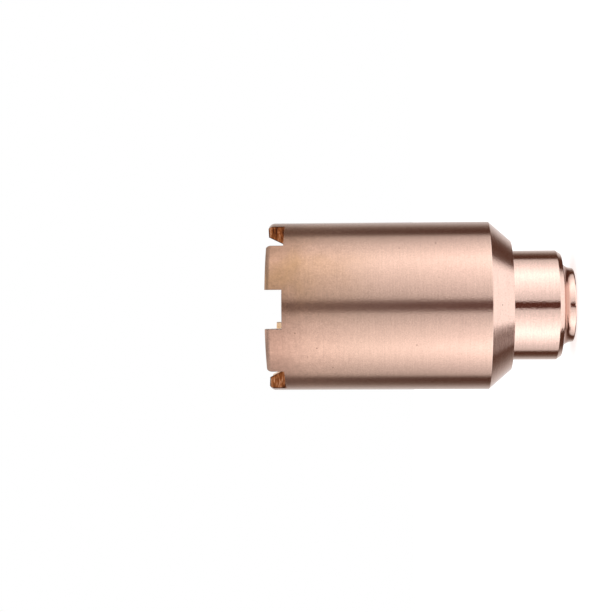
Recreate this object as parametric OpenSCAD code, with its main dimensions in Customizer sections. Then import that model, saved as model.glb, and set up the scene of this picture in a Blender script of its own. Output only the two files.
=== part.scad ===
// A heating nozzle for a gas torch. A turned copper shell has six teeth round its mouth,
// and two fluted brass inserts are pressed into it. The gas enters at the inlet thread,
// fills the chamber behind the inserts and leaves through their V-grooves.
// The nozzle stands on its inlet end, with its axis along +Z and its mouth up.

/* [Shell outside] */
// Length from the inlet end to the tips of the teeth
overall_length = 68.6; // [64:0.1:90]
// Diameter of the turned body
body_d = 38.1; // [36.5:0.1:44]
// Length of the sloped shoulder behind the body
shoulder_length = 5; // [3:0.1:8]
// Diameter at the small end of the shoulder
shoulder_end_d = 29.4; // [26:0.1:33]
// Diameter of the neck
neck_d = 24.8; // [24.4:0.1:26]
// Length of the neck between its chamfer and the shoulder
neck_length = 10.1; // [6:0.1:14]
// Length of the chamfer at the neck's inlet end, along the axis
neck_chamfer_length = 1.05; // [0.5:0.05:1.5]
// Depth of that chamfer, across the axis
neck_chamfer_depth = 0.7; // [0.4:0.05:0.8]

/* [Inlet stub] */
// Diameter of the stub where its end starts to round off
stub_d = 16.8; // [16:0.1:17]
// Length of the stub, most of which is a hollow round that flares out to the neck
stub_length = 3; // [2.4:0.1:3.2]
// Radius of the stub's rounded end
stub_round_r = 0.4; // [0.3:0.1:0.6]

/* [Teeth] */
// Number of teeth, and of the notches between them
tooth_count = 6; // [4:1:8]
// Width of a notch, whose sides are parallel
notch_w = 8.6; // [5:0.1:10]
// Depth of a notch at the mouth's inner edge
notch_depth = 3.6; // [2:0.1:4.2]
// Extra depth of a notch at its outer edge, where its floor slopes away
notch_slope_depth = 0.2; // [0.1:0.1:1]
// Radial width of that slope
notch_slope_w = 1.8; // [0.8:0.1:2.2]
// Radius of the rounded outer edge of the teeth
tip_round_r = 1.3; // [0.4:0.1:1.6]
// Angle of that rounding, from the side of the body to the flat of the tip
tip_round_angle = 58; // [30:1:80]
// Diameter at which the flats of the tips end inside
tip_inner_d = 32.7; // [31:0.1:34]
// Depth of the bevel inside the teeth
bevel_depth = 4.8; // [4.3:0.1:8]

/* [Gas passage] */
// Diameter of the hole drilled for the inlet thread
thread_drill_d = 11.5; // [9.6:0.1:12]
// Full depth of that hole, without its drill point
thread_depth = 14; // [10:0.5:18]
// Radial width of the countersink at the inlet
countersink_w = 0.7; // [0.3:0.1:1]
// Diameter of the bore from the inlet to the chamber
feed_bore_d = 8; // [5:0.1:9]
// Length of the chamber's straight wall
chamber_length = 22; // [14:0.5:26]
// Point angle of the drills
drill_point_angle = 118; // [100:1:140]
// Diameter of the seat that the inserts are pressed into
seat_d = 27.5; // [26:0.1:29]
// Width of the ledge that stops the inserts
seat_ledge_w = 0.75; // [0.6:0.05:1.2]

/* [Inserts] */
// Distance from the end of the bevel to the front of the inserts
face_setback = 0.4; // [0.1:0.1:3]
// Length of both inserts
insert_length = 12; // [8:0.5:16]
// Diameter of the inner insert
core_d = 15.9; // [13:0.1:18]
// Radial clearance left at each press fit
press_clearance = 0.01; // [0.005:0.005:0.03]
// Chamfer at the rear edges of the inserts
rear_chamfer = 0.3; // [0.1:0.05:0.5]
// Chamfer at the front edges of the inserts
front_chamfer = 0.15; // [0.05:0.05:0.3]

/* [Grooves] */
// Number of V-grooves round the outer insert
ring_groove_count = 30; // [18:1:36]
// Width of an outer groove at the insert's outside
ring_groove_w = 1.24; // [0.8:0.02:1.6]
// Depth of an outer groove
ring_groove_depth = 1.85; // [1.3:0.05:2.4]
// Number of V-grooves round the inner insert
core_groove_count = 18; // [10:1:22]
// Width of an inner groove at the insert's outside
core_groove_w = 1; // [0.6:0.02:1.4]
// Depth of an inner groove
core_groove_depth = 1.3; // [0.8:0.05:1.8]
// Angle of the first inner groove from the X axis
core_groove_phase = 3; // [0:0.5:19]
// Diameter of the pip that turning left at the centre of the inner insert
pip_d = 0.9; // [0.4:0.1:1.5]
// Height of that pip
pip_h = 0.2; // [0.1:0.05:0.4]

/* [Hidden] */
$fn = 96;

copper = "#c98f74";
ring_brass = "#cfae62";
core_brass = "#c7a355";

// Amount by which a cutting shape runs past the surface that it cuts
overrun = 1;
// Direction of the first notch: its middle faces -Y
first_notch_angle = 270;

body_r = body_d / 2;
shoulder_end_r = shoulder_end_d / 2;
neck_r = neck_d / 2;
neck_end_r = neck_r - neck_chamfer_depth;
stub_r = stub_d / 2;
stub_flare_r = stub_length - stub_round_r;
neck_z = stub_length + neck_chamfer_length;
shoulder_z = neck_z + neck_length;
body_z = shoulder_z + shoulder_length;
tip_round_centre_r = body_r - tip_round_r;
tip_round_z = overall_length - tip_round_r * sin(tip_round_angle);
tip_outer_r = tip_round_centre_r + tip_round_r * cos(tip_round_angle);
tip_inner_r = tip_inner_d / 2;
notch_floor_z = overall_length - notch_depth;
notch_slope_r = body_r - notch_slope_w;

seat_r = seat_d / 2;
bevel_z = overall_length - bevel_depth;
face_z = bevel_z - face_setback;
seat_z = face_z - insert_length;
chamber_r = seat_r - seat_ledge_w;
chamber_z = seat_z - chamber_length;
feed_bore_r = feed_bore_d / 2;
thread_drill_r = thread_drill_d / 2;
countersink_r = thread_drill_r + countersink_w;

ring_r = seat_r - press_clearance;
ring_bore_r = core_d / 2 + press_clearance;
core_r = core_d / 2;

// Height of a drill's cone between two radii
function drill_cone_h(outer_r, inner_r) = (outer_r - inner_r) / tan(drill_point_angle / 2);

// Half section of the shell's outside, with the radius along X and the height along Y
module shell_outline() {
    difference() {
        union() {
            polygon([
                [0, 0],
                [stub_r - stub_round_r, 0],
                [stub_r, stub_round_r],
                [stub_r + stub_flare_r, stub_round_r],
                [stub_r + stub_flare_r, stub_length],
                [neck_end_r, stub_length],
                [neck_r, neck_z],
                [neck_r, shoulder_z],
                [shoulder_end_r, shoulder_z],
                [body_r, body_z],
                [body_r, tip_round_z],
                [tip_outer_r, overall_length],
                [0, overall_length]
            ]);
            translate([stub_r - stub_round_r, stub_round_r]) circle(stub_round_r);
            intersection() {
                translate([tip_round_centre_r, tip_round_z]) circle(tip_round_r);
                square([body_r, overall_length]);
            }
        }
        translate([stub_r + stub_flare_r, stub_round_r]) circle(stub_flare_r);
    }
}

// Half section of the passage: countersink, thread hole, feed bore, chamber, seat and bevel
module passage_outline() {
    bevel_slope = (tip_inner_r - seat_r) / bevel_depth;
    polygon([
        [0, -overrun],
        [countersink_r + overrun, -overrun],
        [thread_drill_r, countersink_w],
        [thread_drill_r, thread_depth],
        [feed_bore_r, thread_depth + drill_cone_h(thread_drill_r, feed_bore_r)],
        [feed_bore_r, chamber_z - drill_cone_h(chamber_r, feed_bore_r)],
        [chamber_r, chamber_z],
        [chamber_r, seat_z],
        [seat_r, seat_z],
        [seat_r, bevel_z],
        [tip_inner_r + overrun * bevel_slope, overall_length + overrun],
        [0, overall_length + overrun]
    ]);
}

// One notch, cut from the axis outwards along +X, with the slope at its outer edge
module notch() {
    slope_drop = notch_slope_depth / notch_slope_w;
    far_r = body_r + overrun;
    translate([0, -notch_w / 2, notch_floor_z])
        cube([far_r, notch_w, notch_depth + overrun]);
    intersection() {
        translate([0, -notch_w / 2, notch_floor_z - 2 * notch_slope_depth])
            cube([far_r, notch_w, notch_depth]);
        rotate_extrude() polygon([
            [notch_slope_r, notch_floor_z],
            [far_r, notch_floor_z - slope_drop * (far_r - notch_slope_r)],
            [far_r, notch_floor_z + overrun / 2]
        ]);
    }
}

// V-grooves all round an insert of radius r, open at both ends
module v_grooves(count, r, w, depth, phase) {
    outer_half_w = w / 2 * (depth + overrun) / depth;
    for (i = [0 : count - 1])
        rotate(phase + i * 360 / count)
            translate([0, 0, -overrun])
                linear_extrude(insert_length + 2 * overrun)
                    polygon([
                        [r - depth, 0],
                        [r + overrun, -outer_half_w],
                        [r + overrun, outer_half_w]
                    ]);
}

// The copper shell, turned from one bar: stub, neck, shoulder, body and toothed mouth
module nozzle_shell() {
    color(copper)
        difference() {
            rotate_extrude() shell_outline();
            rotate_extrude() passage_outline();
            for (i = [0 : tooth_count - 1])
                rotate(first_notch_angle + i * 360 / tooth_count) notch();
        }
}

// The outer brass insert: a ring with V-grooves round its outside, seated on the ledge
module outer_flute_ring() {
    color(ring_brass)
        translate([0, 0, seat_z])
            difference() {
                rotate_extrude() polygon([
                    [ring_bore_r, 0],
                    [ring_r - rear_chamfer, 0],
                    [ring_r, rear_chamfer],
                    [ring_r, insert_length - front_chamfer],
                    [ring_r - front_chamfer, insert_length],
                    [ring_bore_r + front_chamfer, insert_length],
                    [ring_bore_r, insert_length - front_chamfer]
                ]);
                v_grooves(ring_groove_count, ring_r, ring_groove_w, ring_groove_depth, 0);
            }
}

// The inner brass insert: a plug with V-grooves round its outside, pressed into the ring
module inner_flute_core() {
    color(core_brass)
        translate([0, 0, seat_z])
            difference() {
                union() {
                    rotate_extrude() polygon([
                        [0, 0],
                        [core_r - rear_chamfer, 0],
                        [core_r, rear_chamfer],
                        [core_r, insert_length - front_chamfer],
                        [core_r - front_chamfer, insert_length],
                        [0, insert_length]
                    ]);
                    translate([0, 0, insert_length - pip_h])
                        cylinder(r1 = pip_d, r2 = 0, h = 2 * pip_h);
                }
                v_grooves(core_groove_count, core_r, core_groove_w, core_groove_depth, core_groove_phase);
            }
}

nozzle_shell();
outer_flute_ring();
inner_flute_core();
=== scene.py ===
import math

import bpy
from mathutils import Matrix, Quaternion, Vector


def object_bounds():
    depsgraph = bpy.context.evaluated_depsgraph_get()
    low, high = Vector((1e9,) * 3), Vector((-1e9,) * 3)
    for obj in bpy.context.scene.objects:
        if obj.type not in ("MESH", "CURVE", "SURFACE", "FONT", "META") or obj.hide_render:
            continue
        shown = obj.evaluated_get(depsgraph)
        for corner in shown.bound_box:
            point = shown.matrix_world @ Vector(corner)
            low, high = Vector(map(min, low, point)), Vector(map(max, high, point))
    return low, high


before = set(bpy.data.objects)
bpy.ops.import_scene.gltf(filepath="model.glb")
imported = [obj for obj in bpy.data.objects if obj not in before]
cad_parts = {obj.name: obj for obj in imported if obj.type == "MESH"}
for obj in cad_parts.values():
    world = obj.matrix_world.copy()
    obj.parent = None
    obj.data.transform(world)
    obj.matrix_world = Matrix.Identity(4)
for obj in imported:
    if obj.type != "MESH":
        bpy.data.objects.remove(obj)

cad_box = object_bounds()

# The camera
# It looks at the nozzle from the side, rolled so that the mouth is at the left of the picture.
# It stands near the nozzle's middle and aims near its mouth, so the nozzle fills the right half.
MM = 0.001
PICTURE_PX = 612
PX_PER_MM = 4.373
camera_distance = 346 * MM
camera_height = 40.2 * MM
aim_height = 60.6 * MM
aim_side = 0.12 * MM
camera_turn = math.radians(2)
axis_rise = math.radians(0.37)

bpy.ops.object.camera_add(location=(
    camera_distance * math.sin(camera_turn),
    -camera_distance * math.cos(camera_turn),
    camera_height,
))
camera = bpy.context.object
camera.name = "side_camera"
camera.data.lens = camera.data.sensor_width * PX_PER_MM * camera_distance / MM / PICTURE_PX
line_of_sight = Vector((aim_side, 0, aim_height)) - camera.location
camera.rotation_mode = "QUATERNION"
camera.rotation_quaternion = (
    line_of_sight.to_track_quat("-Z", "Y")
    @ Quaternion((0, 0, 1), -math.pi / 2 - axis_rise)
)
bpy.context.scene.camera = camera
bpy.context.scene.view_settings.view_transform = "Standard"


# The studio light
# A white tent round the nozzle. A tall soft panel stands on each side of the camera, with a dark
# gap at the lens between them, and a wider one behind each panel, before the white backdrop.
def add(tree, kind, inputs=None, stops=(), **settings):
    """Adds a node. settings are the node's own, stops are a colour ramp's places and colours, and
    inputs gives an input's name or number a value, a socket, or a node, whose first output is used."""
    node = tree.nodes.new(kind)
    for name, value in settings.items():
        setattr(node, name, value)
    for name, value in (inputs or {}).items():
        if isinstance(value, bpy.types.Node):
            value = value.outputs[0]
        if isinstance(value, bpy.types.NodeSocket):
            tree.links.new(value, node.inputs[name])
        else:
            node.inputs[name].default_value = value
    if stops:
        elements = node.color_ramp.elements
        while len(elements) < len(stops):
            elements.new(0.5)
        for element, (position, colour) in zip(elements, stops):
            element.position = position
            element.color = colour
    return node


def share(tree, *limits):
    """A share from 0 to 1, the product of its limits. A limit is itself a share, or a value with
    where it starts to count and where it counts in full."""
    product = 1.0
    for limit in limits:
        if isinstance(limit, tuple):
            value, start, full = limit
            limit = add(tree, "ShaderNodeMapRange", {"Value": value, "From Min": start, "From Max": full})
        product = add(tree, "ShaderNodeMath", {0: product, 1: limit}, operation="MULTIPLY")
    return product


# How light the tent is, by the angle in degrees from the camera's side round to the backdrop.
# The nodes hold each level as a part of PANEL_LEVEL, and the tent's light multiplies it again.
PANEL_LEVEL = 1.6
lens_gap = (0.095, 0.034, 0.024)
back_gap = (0.090, 0.042, 0.028)
tent_turns = [
    (0, lens_gap), (6.6, lens_gap), (9.0, (0.72, 0.72, 0.72)),
    (20, (0.90, 0.90, 0.90)), (33, (1.12, 1.12, 1.12)), (46, (1.30, 1.30, 1.30)),
    (56, (1.48, 1.48, 1.48)), (65, (1.57, 1.57, 1.57)), (72, (1.48, 1.48, 1.48)),
    (85, (1.18, 1.18, 1.18)), (100, (0.83, 0.83, 0.83)), (109, (0.64, 0.63, 0.62)),
    (114.5, (0.10, 0.06, 0.045)), (118, back_gap), (125, back_gap), (134, (0.16, 0.12, 0.10)),
    (150, (0.51, 0.50, 0.49)), (161, (0.67, 0.67, 0.67)), (180, (1.0, 1.0, 1.0)),
]
# What closes the tent below and above: its height in degrees, its level, and how far it hides
# the panels. The roof is darker half way up.
tent_heights = [
    (-90, 1.17, 1), (-62, 1.17, 1), (-52, 1.17, 0), (10, 0.7, 0), (20, 0.7, 1),
    (34, 0.6, 1), (48, 0.36, 1), (60, 0.36, 1), (69, 0.9, 1), (90, 0.95, 1),
]
# In degrees, how far the panel on the -X side bulges towards the camera, and how much further
# forward and lower the opening behind it lies than the one on the other side
PANEL_BULGE = 5
OPENING_TURN = 27
OPENING_DROP = 20

world = bpy.data.worlds.new("studio_tent")
bpy.context.scene.world = world
world.use_nodes = True
sky = world.node_tree
sky.nodes.clear()
# The tent stands square to the camera
direction = add(sky, "ShaderNodeVectorRotate", {
    0: add(sky, "ShaderNodeTexCoord").outputs["Generated"], "Angle": -camera_turn},
    rotation_type="Z_AXIS")
across, along, up = add(sky, "ShaderNodeSeparateXYZ", {0: direction}).outputs
turn = add(sky, "ShaderNodeMath", {0: add(sky, "ShaderNodeMath", {
    0: add(sky, "ShaderNodeMath", {0: across}, operation="ABSOLUTE"),
    1: add(sky, "ShaderNodeMath", {0: along, 1: -1.0}, operation="MULTIPLY"),
}, operation="ARCTAN2")}, operation="DEGREES")
rise = add(sky, "ShaderNodeMath", {
    0: add(sky, "ShaderNodeMath", {0: up}, operation="ARCSINE")}, operation="DEGREES")
other_side = share(sky, (across, 0.02, -0.02))
bulge = share(sky, other_side, (turn, 15, 55), (turn, 112, 90))
panel_turn = add(sky, "ShaderNodeMath", {
    0: bulge, 1: PANEL_BULGE, 2: turn}, operation="MULTIPLY_ADD")
panels = add(sky, "ShaderNodeValToRGB", {
    0: add(sky, "ShaderNodeMath", {0: panel_turn, 1: 180}, operation="DIVIDE"),
}, stops=[
    (degrees / 180, [level / PANEL_LEVEL for level in colour] + [1])
    for degrees, colour in tent_turns])
covers = add(sky, "ShaderNodeValToRGB", {
    0: add(sky, "ShaderNodeMapRange", {"Value": rise, "From Min": -90, "From Max": 90}),
}, stops=[
    ((degrees + 90) / 180, [level / PANEL_LEVEL] * 3 + [hiding])
    for degrees, level, hiding in tent_heights])
tent = add(sky, "ShaderNodeMix", {
    0: covers.outputs["Alpha"], 6: panels, 7: covers.outputs["Color"]}, data_type="RGBA").outputs[2]
# The tent is open low down behind each panel
opening_turn = add(sky, "ShaderNodeMath", {
    0: other_side, 1: OPENING_TURN, 2: turn}, operation="MULTIPLY_ADD")
opening_rise = add(sky, "ShaderNodeMath", {
    0: other_side, 1: OPENING_DROP, 2: rise}, operation="MULTIPLY_ADD")
opening = share(
    sky, (opening_turn, 113, 118), (opening_turn, 154, 140),
    (opening_rise, -57, -52), (opening_rise, -14, -24))
tent = add(sky, "ShaderNodeMix", {
    0: opening, 6: tent, 7: [level / PANEL_LEVEL for level in back_gap] + [1],
}, data_type="RGBA").outputs[2]
tent_light = add(sky, "ShaderNodeBackground", {0: tent, 1: PANEL_LEVEL})

# The camera sees plain white all round. Metal shows the tent, whose backdrop is that white.
white_backdrop = add(sky, "ShaderNodeBackground", {0: (1, 1, 1, 1), 1: 1.0})
path = add(sky, "ShaderNodeLightPath")
mirrored = add(sky, "ShaderNodeMath", {
    0: path.outputs["Is Glossy Ray"], 1: path.outputs["Is Transmission Ray"]}, operation="MAXIMUM")
seen = add(sky, "ShaderNodeMixShader", {0: mirrored, 1: white_backdrop, 2: tent_light})
add(sky, "ShaderNodeOutputWorld", {0: seen})


# The floor
# A large sheet of matt white paper, on which the nozzle stands on its inlet end.
# It is lifted to white for the camera and keeps the nozzle's soft shadow.
def bare_material(name):
    """A new material, and its node tree with nothing in it."""
    material = bpy.data.materials.new(name)
    material.use_nodes = True
    material.node_tree.nodes.clear()
    return material, material.node_tree


PAPER_LEVEL = 0.7
PAPER_LIFT = 0.6
bpy.ops.mesh.primitive_circle_add(vertices=64, radius=3, fill_type="NGON")
floor = bpy.context.object
floor.name = "paper_floor"
floor.visible_glossy = False
paper, tree = bare_material("matt_white_paper")
path = add(tree, "ShaderNodeLightPath")
shown = add(tree, "ShaderNodeMath", {
    0: path.outputs["Is Camera Ray"], 1: path.outputs["Is Transmission Ray"]}, operation="MAXIMUM")
seen_paper = add(tree, "ShaderNodeEmission", {0: (1, 1, 1, 1), 1: add(
    tree, "ShaderNodeMath", {0: shown, 1: PAPER_LIFT}, operation="MULTIPLY")})
lit_paper = add(tree, "ShaderNodeBsdfDiffuse", {0: (PAPER_LEVEL, PAPER_LEVEL, PAPER_LEVEL, 1)})
add(tree, "ShaderNodeOutputMaterial", {
    0: add(tree, "ShaderNodeAddShader", {0: seen_paper, 1: lit_paper})})
floor.data.materials.append(paper)


# The copper shell
# One piece turned from a copper bar, with the notches between its teeth milled afterwards.
# The body was left satin from the lathe, while the neck and stub were turned finer and shine.
def linear(hex_colour):
    """The linear colour of an sRGB hex value such as "d08c70"."""
    values = [int(hex_colour[i:i + 2], 16) / 255 for i in (0, 2, 4)]
    return [v / 12.92 if v <= 0.04045 else ((v + 0.055) / 1.055) ** 2.4 for v in values] + [1]


def place_on_nozzle(tree):
    """Where a point is: its place in millimetres, whole and as x, y and z, then its radius from
    the nozzle's axis, and its angle round that axis from +X."""
    place = add(tree, "ShaderNodeVectorMath", {
        0: add(tree, "ShaderNodeTexCoord").outputs["Object"], "Scale": 1 / MM}, operation="SCALE")
    x, y, z = add(tree, "ShaderNodeSeparateXYZ", {0: place}).outputs
    from_axis = add(tree, "ShaderNodeCombineXYZ", {0: x, 1: y})
    radius = add(tree, "ShaderNodeVectorMath", {0: from_axis}, operation="LENGTH").outputs["Value"]
    angle = add(tree, "ShaderNodeMath", {0: y, 1: x}, operation="ARCTAN2")
    return place, x, y, z, radius, angle


# Its sizes in millimetres, with heights from the inlet end
tip_z = cad_box[1][2] / MM
body_r = cad_box[1][0] / MM
notch_pitch = math.radians(60)
notch_half_w = 4.3
notch_floor_z = tip_z - 3.6
notch_floor_drop = 0.2
bevel_z = tip_z - 4.8
bevel_outer_r = 16.35
seat_r = 13.75
brass_z = bevel_z - 0.4
thread_r = 5.75
thread_pitch = 1.27
thread_end_z = 14.0

# Turned copper, left bare: a pink metal whose fine lines run round it, so that the tent's light
# lies on it in soft bands from end to end. Towards the mouth it is drawn duller and browner.
copper, tree = bare_material("turned_copper")
place, x, y, z, radius, angle = place_on_nozzle(tree)

# The nearest notch, and how far a point is along it and across it
from_front = add(tree, "ShaderNodeMath", {0: angle, 1: math.pi / 2}, operation="ADD")
notch_number = add(tree, "ShaderNodeMath", {
    0: add(tree, "ShaderNodeMath", {0: from_front, 1: notch_pitch}, operation="DIVIDE"),
}, operation="ROUND")
from_notch = add(tree, "ShaderNodeMath", {
    0: from_front, 1: notch_pitch / 2, 2: -notch_pitch / 2}, operation="WRAP")
along_notch, across_notch = [
    add(tree, "ShaderNodeMath", {
        0: radius, 1: add(tree, "ShaderNodeMath", {0: from_notch}, operation=ratio),
    }, operation="MULTIPLY")
    for ratio in ("COSINE", "SINE")]
off_middle = add(tree, "ShaderNodeMath", {0: across_notch}, operation="ABSOLUTE")

# The surfaces, each as a share from 0 to 1 that fades out just past the surface's edges
between_walls = share(tree, (off_middle, notch_half_w + 0.05, notch_half_w + 0.02))
lowest_floor_z = notch_floor_z - notch_floor_drop
in_notch = share(tree, between_walls, (z, lowest_floor_z - 0.06, lowest_floor_z - 0.03))
on_tip = share(tree, (z, tip_z - 0.05, tip_z - 0.02))
on_bevel = share(
    tree, (radius, bevel_outer_r + 0.15, bevel_outer_r + 0.1), (z, bevel_z - 0.04, bevel_z),
    (in_notch, 1, 0))
# Half of a notch floor's look runs on down what is left of the bevel in front of it
bevel_below_notch = share(tree, on_bevel, between_walls, 0.5)
on_notch_floor = share(
    tree, (z, notch_floor_z + 0.05, notch_floor_z + 0.02),
    add(tree, "ShaderNodeMath", {0: in_notch, 1: bevel_below_notch}, operation="ADD"))
in_passage = share(
    tree, (radius, seat_r + 0.1, seat_r + 0.05), (z, bevel_z, bevel_z - 0.04),
    (z, thread_end_z, thread_end_z + 0.4))
in_thread = share(
    tree, (radius, thread_r + 0.15, thread_r + 0.05), (z, thread_end_z, thread_end_z - 0.6))

# How near a notch's wall is to its own edges, which are drawn dark: a burr that the cutter left along the
# outer edges, and painted shade in the corner where the wall meets the floor
bevel_r = add(tree, "ShaderNodeMapRange", {
    "Value": z, "From Min": bevel_z, "From Max": tip_z, "To Min": seat_r, "To Max": bevel_outer_r})
wall_edge = body_r
for high, low in ((radius, bevel_r), (tip_z, z), (z, notch_floor_z), (body_r, radius)):
    wall_edge = add(tree, "ShaderNodeMath", {0: wall_edge, 1: add(
        tree, "ShaderNodeMath", {0: high, 1: low}, operation="SUBTRACT")}, operation="MINIMUM")
burr_and_corner_shade = share(tree, (wall_edge, 0.35, 0.05), 0.9)

# Turning lines, drawn twice as far apart as the real feed marks so that they show
line_pitch, line_length = 0.2778, 6.667
lines = add(tree, "ShaderNodeTexNoise", {"Vector": add(tree, "ShaderNodeMapping", {
    "Vector": place, "Scale": (1 / line_length, 1 / line_length, 1 / line_pitch),
}), "Scale": 1.0, "Detail": 3.0, "Roughness": 0.6})
# The satin's grain, drawn coarser than the real one so that it shows
grain_w = 0.3571
grain = add(tree, "ShaderNodeTexNoise", {
    "Vector": place, "Scale": 1 / grain_w, "Detail": 2.0, "Roughness": 0.7})
# Soft patches from handling and heat
patch_w = 11.76
patches = add(tree, "ShaderNodeTexNoise", {
    "Vector": place, "Scale": 1 / patch_w, "Detail": 3.0, "Roughness": 0.5, "Distortion": 0.6})
# Small blotches, plainest near the mouth
blotch_w = 1.25
blotches = add(tree, "ShaderNodeTexNoise", {
    "Vector": place, "Scale": 1 / blotch_w, "Detail": 3.0, "Roughness": 0.6, "Distortion": 0.5})
# The cutter's marks, which run along each notch. The last of the noise's coordinates, with 7.3
# and 2.9, gives each floor and each wall its own.
floor_mark_w, floor_mark_length = 0.3125, 8.333
floor_marks = add(tree, "ShaderNodeTexNoise", {"Vector": add(tree, "ShaderNodeMapping", {
    "Vector": add(tree, "ShaderNodeCombineXYZ", {0: along_notch, 1: across_notch, 2: notch_number}),
    "Scale": (1 / floor_mark_length, 1 / floor_mark_w, 7.3),
}), "Scale": 1.0, "Detail": 3.0, "Roughness": 0.6, "Distortion": 0.3})
wall_mark_w, wall_mark_length = 0.7692, 3.125
wall_number = add(tree, "ShaderNodeMath", {
    0: add(tree, "ShaderNodeMath", {0: across_notch}, operation="SIGN"), 1: 2.9, 2: notch_number,
}, operation="MULTIPLY_ADD")
wall_marks = add(tree, "ShaderNodeTexNoise", {"Vector": add(tree, "ShaderNodeMapping", {
    "Vector": add(tree, "ShaderNodeCombineXYZ", {0: along_notch, 1: z, 2: wall_number}),
    "Scale": (1 / wall_mark_length, 1 / wall_mark_w, 1),
}), "Scale": 1.0, "Detail": 3.0, "Roughness": 0.6, "Distortion": 0.4})

# By height in millimetres: the stub's hollow has a darker band, painted shade standing for a dark
# reflection, the neck is bright, the body is browner and rougher towards the mouth, and the rounded rim
# at the teeth's tips is painted lighter as a highlight
RAMP_TOP = 70
height_colours = [
    # From 1.8 to 2.9 mm, painted shade on the stub's hollow in place of a dark reflection
    (0, "f5d1c3"), (1.3, "f5d1c3"), (1.8, "d3a190"), (2.9, "c99584"), (3.05, "f5d1c3"),
    (19.1, "f5d1c3"), (19.2, "e4c0b0"), (25, "e1bcac"), (36, "dab6a5"),
    # At 68.2 mm, a painted highlight on the teeth's rounded rim
    (47.5, "d6b2a0"), (58.9, "d1aa97"), (65.4, "be9684"), (67.4, "bb9381"), (68.2, "cfa793"),
]
height_roughness = [
    (0, 0.08), (14.1, 0.07), (14.2, 0.15), (19.1, 0.15), (19.2, 0.2), (47, 0.23), (66, 0.25),
]
up_ramp = add(tree, "ShaderNodeMath", {0: z, 1: RAMP_TOP}, operation="DIVIDE")
colour = add(tree, "ShaderNodeValToRGB", {0: up_ramp}, stops=[
    (height / RAMP_TOP, linear(hex_colour)) for height, hex_colour in height_colours])
roughness = add(tree, "ShaderNodeValToRGB", {0: up_ramp}, stops=[
    (height / RAMP_TOP, (level, level, level, 1)) for height, level in height_roughness])
# An orange tarnish grows towards the mouth on one side, and is fainter at that side's edge
on_side = add(tree, "ShaderNodeMapRange", {
    "Value": x, "From Min": -5.0, "From Max": 7.0}, interpolation_type="SMOOTHSTEP")
short_of_edge = add(tree, "ShaderNodeMapRange", {
    "Value": x, "From Min": 10.0, "From Max": 14.0, "To Min": 1.0, "To Max": 0.4,
}, interpolation_type="SMOOTHSTEP")
patchy = add(tree, "ShaderNodeMapRange", {
    "Value": patches, "From Min": 0.3, "From Max": 0.7, "To Min": 0.2, "To Max": 0.8})
tarnish = share(tree, (z, 42.0, 66.0), on_side, short_of_edge, patchy, 0.9)
colour = add(tree, "ShaderNodeMix", {
    0: tarnish, 6: colour, 7: linear("b08858")}, data_type="RGBA").outputs[2]

# Each machined surface of the mouth has its own colours, from dark to light marks. The bevel's are drawn
# paler than its copper: painted light, standing for bright light from the front.
marked = []
for marks, mark_colours in (
    (wall_marks, ((0.35, "582a12"), (0.5, "ae6838"), (0.66, "f0ba92"))),
    (floor_marks, ((0.3, "b8806a"), (0.5, "e6b49c"), (0.7, "fadccc"))),
    (patches, ((0.34, "ffb580"), (0.5, "ffcd9c"), (0.66, "ffdcb8"))),
    (patches, ((0.34, "f0bb9e"), (0.5, "f5cab2"), (0.66, "f7d8c6"))),
):
    marked.append(add(tree, "ShaderNodeValToRGB", {0: marks}, stops=[
        (position, linear(hex_colour)) for position, hex_colour in mark_colours]))
wall_colour, floor_colour, bevel_colour, tip_colour = marked
# The wall's dark edges: burr, with painted shade in the corner at the floor
wall_colour = add(tree, "ShaderNodeMix", {
    0: burr_and_corner_shade, 6: wall_colour, 7: linear("45200e")}, data_type="RGBA").outputs[2]
# The notch floors are orange with heat inside, have small burnt patches, and are browner outside
burn_w = 5.263
burns = add(tree, "ShaderNodeTexNoise", {
    "Vector": place, "Scale": 1 / burn_w, "Detail": 2.0, "Distortion": 0.5})
inner_heat = share(tree, (radius, 16.8, 14.6), 0.6)
burnt = share(tree, (burns, 0.46, 0.62), 0.75)
browned = share(tree, (radius, 15.6, 17.6), add(tree, "ShaderNodeMapRange", {
    "Value": patches, "From Min": 0.44, "From Max": 0.6, "To Min": 0.7, "To Max": 0.1}))
for amount, heat_colour in ((inner_heat, "d89a66"), (burnt, "a8683c"), (browned, "8a5a48")):
    floor_colour = add(tree, "ShaderNodeMix", {
        0: amount, 6: floor_colour, 7: linear(heat_colour)}, data_type="RGBA").outputs[2]
# The seat shows in front of the brass, and the passage behind it is painted dark as shade in the recess
seat_and_shaded_passage_colour = add(tree, "ShaderNodeMix", {
    0: share(tree, (z, brass_z - 0.4, brass_z + 0.2)), 6: linear("2a1a12"), 7: linear("e09a64"),
}, data_type="RGBA").outputs[2]

for surface, surface_colour, surface_roughness in (
    (on_bevel, bevel_colour, 0.3),
    (on_tip, tip_colour, 0.3),
    (in_notch, wall_colour, 0.4),
    (on_notch_floor, floor_colour, 0.35),
    (in_passage, seat_and_shaded_passage_colour, 0.5),
):
    colour = add(tree, "ShaderNodeMix", {
        0: surface, 6: colour, 7: surface_colour}, data_type="RGBA").outputs[2]
    roughness = add(tree, "ShaderNodeMix", {
        0: surface, 2: roughness, 3: surface_roughness}, data_type="FLOAT")

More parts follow.
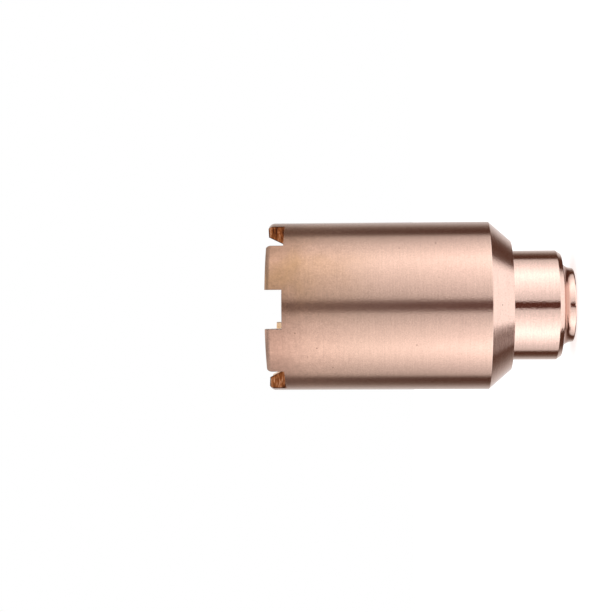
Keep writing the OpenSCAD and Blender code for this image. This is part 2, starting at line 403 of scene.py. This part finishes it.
# Lines, grain and blotches lighten and darken the metal by a few parts in a hundred
shade = 1.0
for marks, amount in (
    (lines, add(tree, "ShaderNodeMix", {0: on_bevel, 2: 0.22, 3: 0.25}, data_type="FLOAT")),
    (grain, add(tree, "ShaderNodeMapRange", {
        "Value": z, "From Min": 48.0, "From Max": 67.0, "To Min": 0.34, "To Max": 0.55})),
    (blotches, add(tree, "ShaderNodeMapRange", {
        "Value": z, "From Min": 45.0, "From Max": 67.0, "To Min": 0.12, "To Max": 0.5})),
):
    centred = add(tree, "ShaderNodeMath", {0: marks, 1: 0.5}, operation="SUBTRACT")
    shade = add(tree, "ShaderNodeMath", {0: centred, 1: amount, 2: shade}, operation="MULTIPLY_ADD")
colour = add(tree, "ShaderNodeHueSaturation", {"Value": shade, "Color": colour})

# A few dark specks about 0.3 mm wide, each somewhere in its own cell
cell_w = 3.846
cells = add(tree, "ShaderNodeTexVoronoi", {"Vector": place, "Scale": 1 / cell_w})
speck = share(tree, (cells.outputs["Distance"], 0.055, 0.03), 0.6)
colour = add(tree, "ShaderNodeMix", {
    0: speck, 6: colour, 7: linear("5a3a2c")}, data_type="RGBA").outputs[2]

# The inlet thread's ridges, with the marks' own fine relief, all in millimetres
helix = add(tree, "ShaderNodeMath", {
    0: add(tree, "ShaderNodeMath", {0: z, 1: thread_pitch}, operation="DIVIDE"),
    1: add(tree, "ShaderNodeMath", {0: angle, 1: math.tau}, operation="DIVIDE"),
}, operation="SUBTRACT")
ridges = add(tree, "ShaderNodeMath", {0: helix, 1: 0.5}, operation="PINGPONG")
relief = add(tree, "ShaderNodeMath", {0: ridges, 1: in_thread}, operation="MULTIPLY")
for marks, depth in ((lines, 0.012), (grain, 0.012), (floor_marks, share(tree, on_notch_floor, 0.03))):
    relief = add(tree, "ShaderNodeMath", {0: marks, 1: depth, 2: relief}, operation="MULTIPLY_ADD")

# The duller metal scatters more of the light, and most of all on the bevel
metallic = add(tree, "ShaderNodeMapRange", {
    "Value": z, "From Min": 19.0, "From Max": 47.0, "To Min": 0.99, "To Max": 0.935})
metallic = add(tree, "ShaderNodeMath", {
    0: metallic, 1: share(tree, (z, 47.0, 67.0), 0.1)}, operation="SUBTRACT")
metallic = add(tree, "ShaderNodeMix", {0: on_bevel, 2: metallic, 3: 0.33}, data_type="FLOAT")
metal = add(tree, "ShaderNodeBsdfPrincipled", {
    "Base Color": colour, "Metallic": metallic, "Roughness": roughness,
    "Anisotropic": 0.8, "Anisotropic Rotation": 0.25,
    "Tangent": add(tree, "ShaderNodeTangent", direction_type="RADIAL", axis="Z"),
    "Normal": add(tree, "ShaderNodeBump", {
        "Height": relief, "Strength": 1.0, "Distance": MM,
        "Normal": add(tree, "ShaderNodeBevel", {"Radius": 0.12 * MM}, samples=4)}),
})
add(tree, "ShaderNodeOutputMaterial", {0: metal})
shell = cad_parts["nozzle_shell"]
shell.data.materials.clear()
shell.data.materials.append(copper)


# The brass inserts
# A fluted plug pressed into a fluted ring, which is pressed into the shell's seat. Both were faced
# off on the lathe, and the gas leaves through the V-grooves cut round their outsides.
core_r = 7.95
joint_half_w = 0.16
pip_r = 0.25
# Each insert's number of grooves and the angle of the first in degrees, and in millimetres the
# insert's radius and the grooves' width and depth
groove_rows = (
    (30, 0, 13.74, 1.24, 1.85),
    (18, 3, core_r, 1.0, 1.3),
)

# Turned brass: dull olive yellow, with rings from the facing tool that are plainest at the centre
brass, tree = bare_material("turned_brass")
place, x, y, z, radius, angle = place_on_nozzle(tree)

# The facing tool's rings, drawn twice as far apart as the real ones so that they show
ring_pitch, ring_length = 0.4, 12.5
rings = add(tree, "ShaderNodeTexNoise", {"Vector": add(tree, "ShaderNodeMapping", {
    "Vector": add(tree, "ShaderNodeCombineXYZ", {0: radius, 1: x, 2: y}),
    "Scale": (1 / ring_pitch, 1 / ring_length, 1 / ring_length),
}), "Scale": 1.0, "Detail": 2.0, "Roughness": 0.6})
# A grain as coarse as the copper's, and stains
grain_w, stain_w = 0.3846, 3.846
grain = add(tree, "ShaderNodeTexNoise", {
    "Vector": place, "Scale": 1 / grain_w, "Detail": 2.0, "Roughness": 0.7})
stains = add(tree, "ShaderNodeTexNoise", {
    "Vector": place, "Scale": 1 / stain_w, "Detail": 3.0, "Roughness": 0.6, "Distortion": 0.8})
colour = add(tree, "ShaderNodeMix", {
    0: share(tree, (stains, 0.35, 0.65)), 6: linear("a09f76"), 7: linear("b2a866"),
}, data_type="RGBA").outputs[2]
shade = 1.0
for marks, amount in (
    (rings, add(tree, "ShaderNodeMapRange", {
        "Value": radius, "From Min": 3.0, "From Max": 8.0, "To Min": 0.55, "To Max": 0.15})),
    (grain, 0.35),
):
    centred = add(tree, "ShaderNodeMath", {0: marks, 1: 0.5}, operation="SUBTRACT")
    shade = add(tree, "ShaderNodeMath", {0: centred, 1: amount, 2: shade}, operation="MULTIPLY_ADD")
colour = add(tree, "ShaderNodeHueSaturation", {"Value": shade, "Color": colour})
# Glints are painted pale on the joint between the inserts here and there, and on the pip at the centre
off_joint = add(tree, "ShaderNodeMath", {0: add(
    tree, "ShaderNodeMath", {0: radius, 1: core_r}, operation="SUBTRACT")}, operation="ABSOLUTE")
at_joint = share(tree, (off_joint, joint_half_w + 0.08, joint_half_w), 0.85)
painted_glint = add(tree, "ShaderNodeMath", {
    0: share(tree, at_joint, (stains, 0.56, 0.64)),
    1: share(tree, (radius, pip_r + 0.1, pip_r)),
}, operation="MAXIMUM")
colour = add(tree, "ShaderNodeMix", {
    0: painted_glint, 6: colour, 7: linear("f4f0dc")}, data_type="RGBA").outputs[2]
# The grooves are painted black inside as shade, from a little below the face, and have painted dark edges
# 0.1 mm wide that widen that shade
outside_painted_shade = share(tree, (z, brass_z - 0.7, brass_z - 0.1))
for count, first, insert_r, width, depth in groove_rows:
    half_pitch = math.pi / count
    from_groove = add(tree, "ShaderNodeMath", {0: add(tree, "ShaderNodeMath", {
        0: add(tree, "ShaderNodeMath", {0: angle, 1: math.radians(first)}, operation="SUBTRACT"),
        1: half_pitch, 2: -half_pitch}, operation="WRAP")}, operation="ABSOLUTE")
    from_groove = add(tree, "ShaderNodeMath", {0: from_groove, 1: radius}, operation="MULTIPLY")
    widening = width / 2 / depth
    half_w = add(tree, "ShaderNodeMath", {
        0: radius, 1: widening, 2: -widening * (insert_r - depth)}, operation="MULTIPLY_ADD")
    beside = add(tree, "ShaderNodeMath", {0: from_groove, 1: half_w}, operation="SUBTRACT")
    outside = add(tree, "ShaderNodeMath", {
        0: share(tree, (beside, 0.04, 0.1)),
        1: share(tree, (radius, insert_r + 0.01, insert_r + 0.02)),
    }, operation="MAXIMUM")
    outside_painted_shade = add(tree, "ShaderNodeMath", {0: outside_painted_shade, 1: outside}, operation="MINIMUM")
colour = add(tree, "ShaderNodeMix", {
    0: outside_painted_shade, 6: linear("1a140c"), 7: colour}, data_type="RGBA").outputs[2]
roughness = add(tree, "ShaderNodeMapRange", {"Value": outside_painted_shade, "To Min": 0.65, "To Max": 0.33})
relief = 0.0
for marks, depth in ((rings, 0.02), (grain, 0.012)):
    relief = add(tree, "ShaderNodeMath", {0: marks, 1: depth, 2: relief}, operation="MULTIPLY_ADD")
metal = add(tree, "ShaderNodeBsdfPrincipled", {
    "Base Color": colour, "Metallic": 1.0, "Roughness": roughness,
    "Anisotropic": 0.6, "Anisotropic Rotation": 0.25,
    "Tangent": add(tree, "ShaderNodeTangent", direction_type="RADIAL", axis="Z"),
    "Normal": add(tree, "ShaderNodeBump", {
        "Height": relief, "Strength": 1.0, "Distance": MM,
        # Hides the small chamfers at the joint, which the tool has burnished flat
        "Normal": add(tree, "ShaderNodeNormalMap", {
            "Color": (0.5, 0.5, 1, 1), "Strength": at_joint}, space="OBJECT")}),
})
add(tree, "ShaderNodeOutputMaterial", {0: metal})
for name in ("outer_flute_ring", "inner_flute_core"):
    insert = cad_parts[name]
    insert.data.materials.clear()
    insert.data.materials.append(brass)
